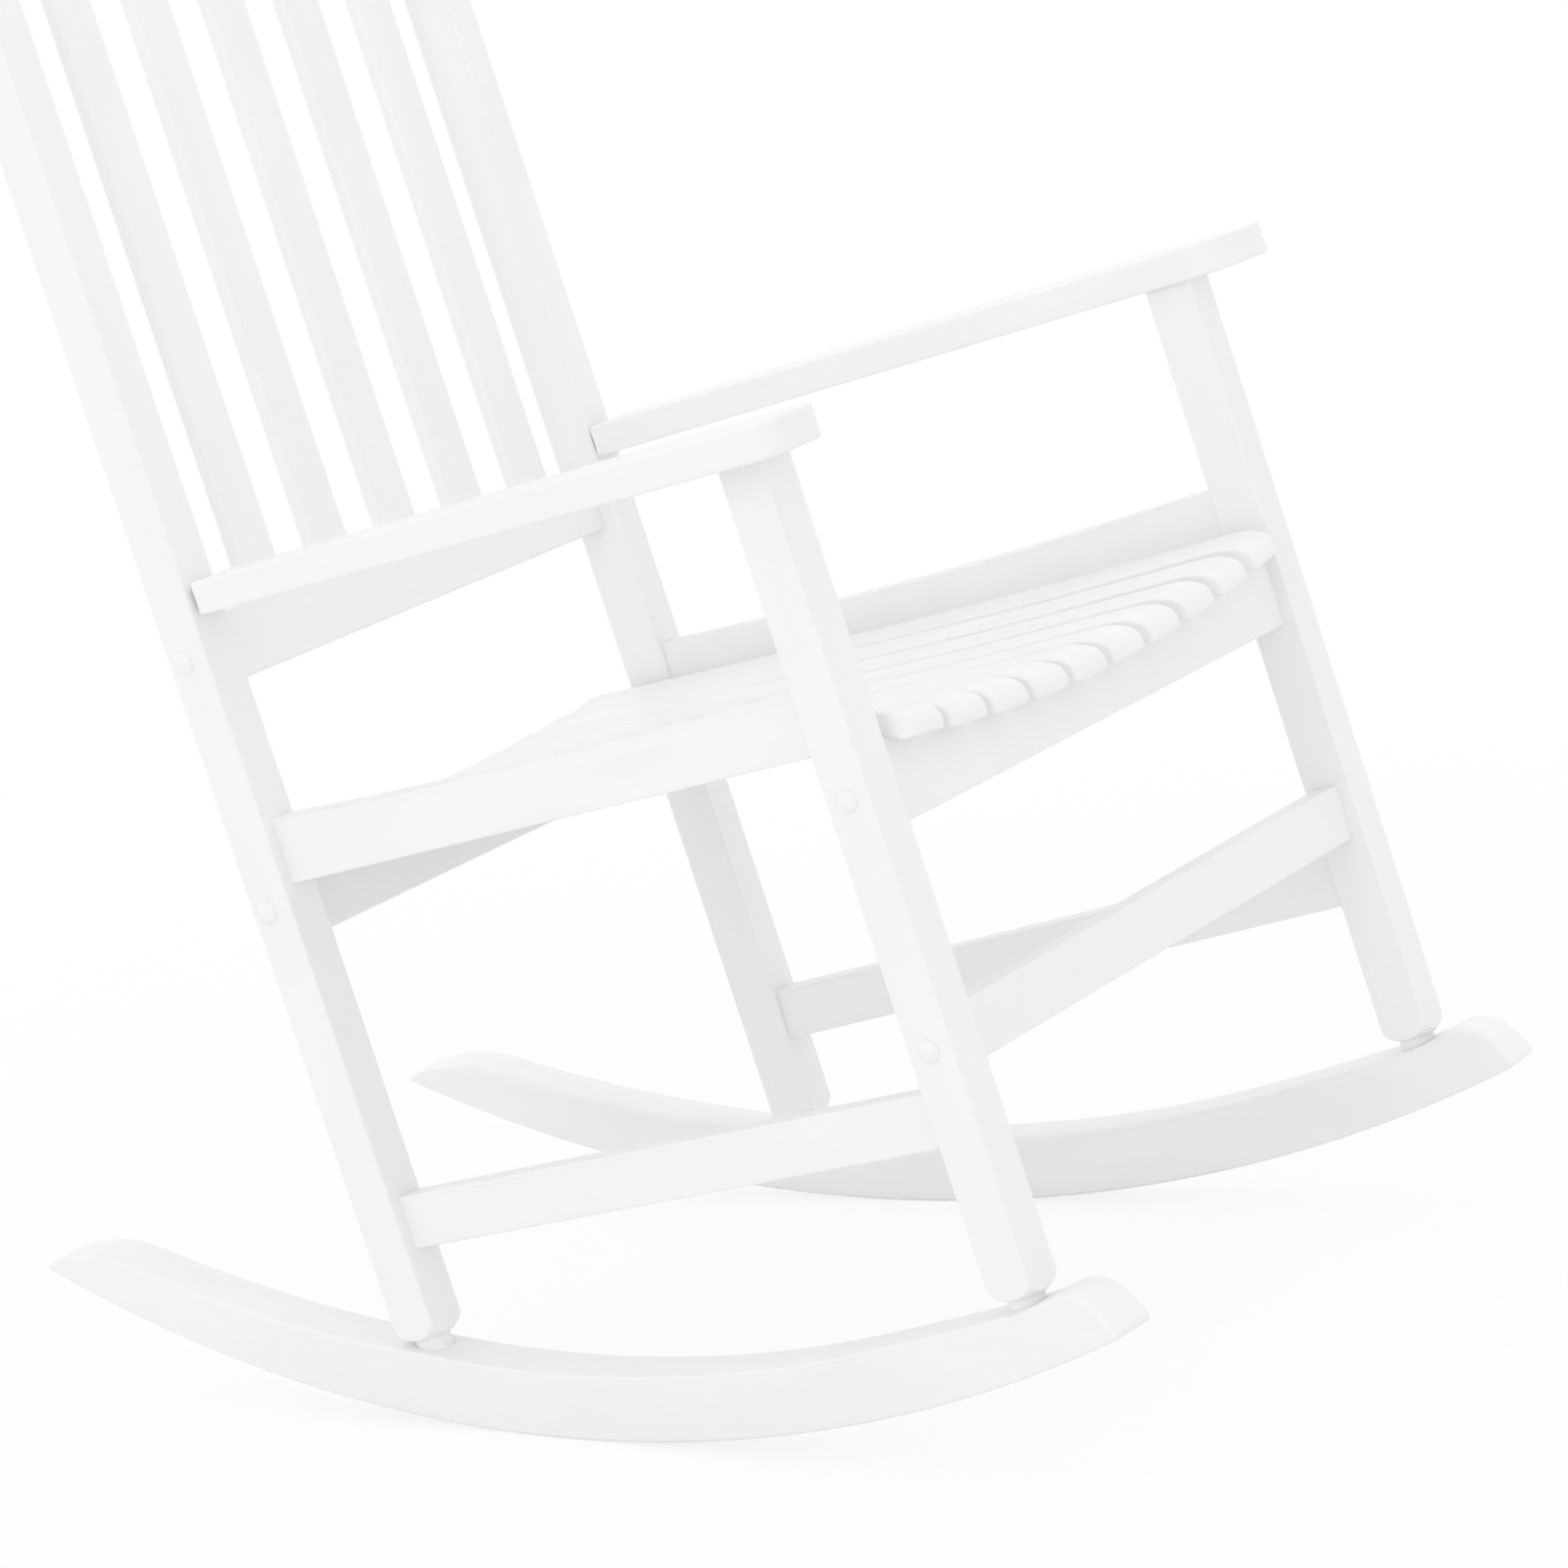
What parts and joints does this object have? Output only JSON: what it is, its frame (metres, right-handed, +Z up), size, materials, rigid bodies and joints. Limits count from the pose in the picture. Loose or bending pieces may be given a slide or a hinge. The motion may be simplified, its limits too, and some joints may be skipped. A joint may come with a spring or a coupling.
{
  "type": "rocking chair",
  "caption": "White painted wooden porch rocking chair with a slatted seat and back, flat armrests, square posts, stretchers and long curved rockers.",
  "frame": {"origin": "on the floor, midway between the two places where the rockers touch it", "axes": "+Z up from the floor, -Y the way a sitter faces, +X to the sitter's left"},
  "size_m": [0.661, 0.8718, 1.1334],
  "materials": {
    "white_paint": "wood under a satin white paint",
    "white_plastic": "white domed caps, glossy",
    "steel": "zinc plated, hidden",
    "dowel_wood": "bare beech, hidden"
  },
  "bodies": {
    "root": {"arm_dowels": "dowel_wood", "back_lower_rail": "white_paint", "back_slat_1": "white_paint", "back_slat_2": "white_paint", "back_slat_3": "white_paint", "back_slat_4": "white_paint", "back_slat_5": "white_paint", "barrel_nuts": "steel", "bolt_caps": "white_plastic", "bolts": "steel", "crest_rail": "white_paint", "front_seat_rail": "white_paint", "front_stretcher": "white_paint", "left_arm": "white_paint", "left_front_post": "white_paint", "left_rear_post": "white_paint", "left_rocker": "white_paint", "left_side_seat_rail": "white_paint", "left_side_stretcher": "white_paint", "rail_dowels": "dowel_wood", "rear_seat_rail": "white_paint", "right_arm": "white_paint", "right_front_post": "white_paint", "right_rear_post": "white_paint", "right_rocker": "white_paint", "right_side_seat_rail": "white_paint", "right_side_stretcher": "white_paint", "seat_slat_1": "white_paint", "seat_slat_10": "white_paint", "seat_slat_2": "white_paint", "seat_slat_3": "white_paint", "seat_slat_4": "white_paint", "seat_slat_5": "white_paint", "seat_slat_6": "white_paint", "seat_slat_7": "white_paint", "seat_slat_8": "white_paint", "seat_slat_9": "white_paint"}
  },
  "joints": []
}
